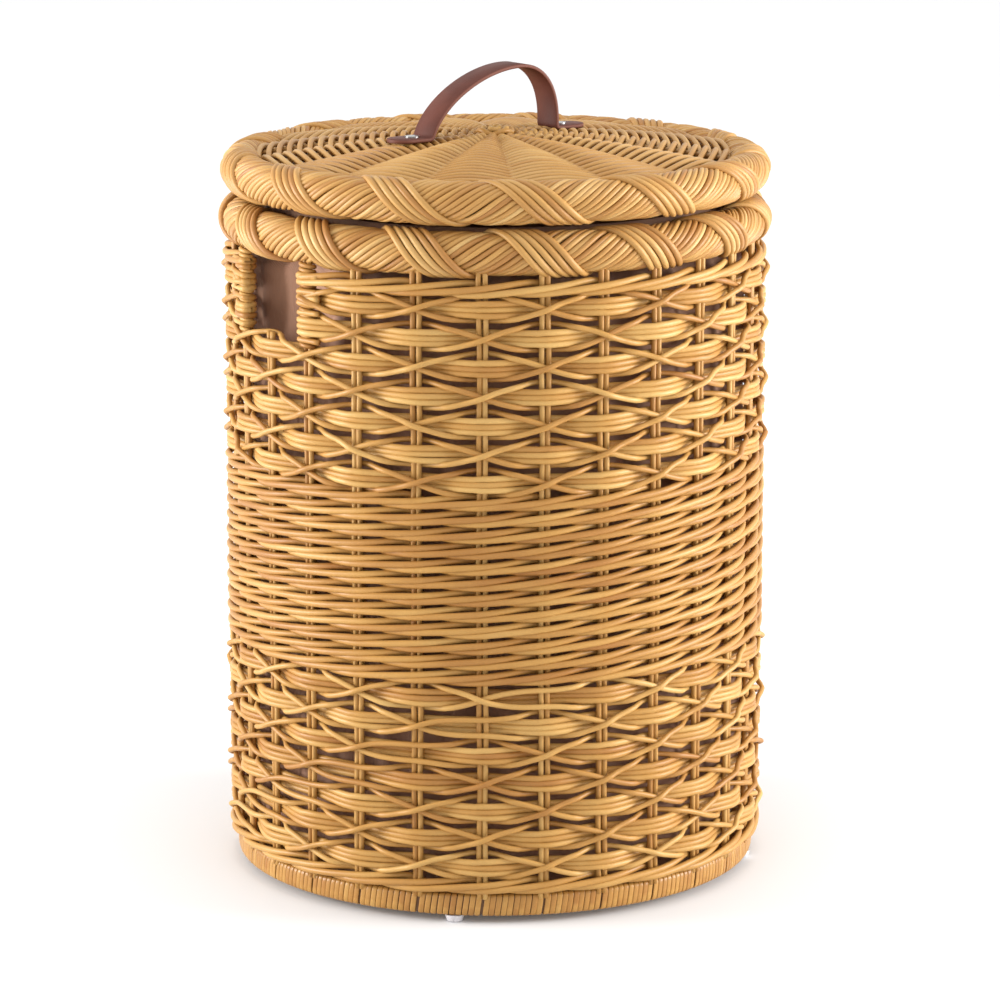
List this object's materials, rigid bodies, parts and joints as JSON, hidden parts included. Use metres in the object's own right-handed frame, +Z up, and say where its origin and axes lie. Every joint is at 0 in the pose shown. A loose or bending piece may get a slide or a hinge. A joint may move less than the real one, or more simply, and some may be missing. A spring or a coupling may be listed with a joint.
{
  "type": "woven laundry basket",
  "caption": "Round woven rattan laundry basket with rope-wrapped rims, hand holes, cloth liner, small feet and a lift-off domed woven lid with a leather strap",
  "frame": {"origin": "on the floor, under the middle of the basket", "axes": "+Z is up, the hand holes face +X and -X, and the lid's strap arches along X"},
  "size_m": [0.4204, 0.4204, 0.6137],
  "materials": {
    "rattan": "split and round rattan strands, honey coloured, smooth with a light gloss",
    "cane": "round willow or rattan canes, honey coloured, smooth",
    "liner_cloth": "smooth brown woven lining cloth with a slight sheen",
    "tie_cotton": "white cotton thread",
    "leather": "reddish brown leather with cut edges, fine grain, semi-matt",
    "steel": "plain bright steel rivets, washers and nails",
    "foot_plastic": "milky white plastic"
  },
  "bodies": {
    "basket": {"foot_front_left": "foot_plastic", "foot_front_right": "foot_plastic", "foot_back_left": "foot_plastic", "foot_back_right": "foot_plastic", "foot_nails": "steel", "base_hoop": "cane", "base_wrap": "rattan", "base_spokes": "cane", "base_weave": "rattan", "stakes": "cane", "cut_stakes": "cane", "bottom_wale": "rattan", "lower_openwork": "rattan", "lower_crossings": "rattan", "middle_wale": "rattan", "upper_openwork": "rattan", "upper_crossings": "rattan", "top_wale": "rattan", "hole_binding_left": "rattan", "hole_binding_right": "rattan", "rim_core": "cane", "rim_rope": "rattan", "rim_wrap": "rattan", "liner_wall": "liner_cloth", "liner_floor": "liner_cloth", "liner_hem": "liner_cloth", "liner_ties": "tie_cotton"},
    "lid": {"lid_core": "cane", "lid_rope": "rattan", "lid_wrap": "rattan", "lid_spokes": "cane", "lid_weave": "rattan", "lid_knot": "rattan", "tab_left": "leather", "tab_right": "leather", "rivet_left": "steel", "rivet_right": "steel", "washer_left": "steel", "washer_right": "steel"},
    "handle": {"strap": "leather"}
  },
  "joints": [
    {"name": "lid_lift", "type": "slide", "parent": "basket", "child": "lid", "axis": [0, 0, 1], "range_m": [0, 0.08]},
    {"name": "handle_sway", "type": "hinge", "parent": "lid", "child": "handle", "pos_m": [0, 0, 0.5777], "axis": [1, 0, 0], "range_deg": [-35, 35], "stiffness_Nm_per_rad": 0.05}
  ]
}
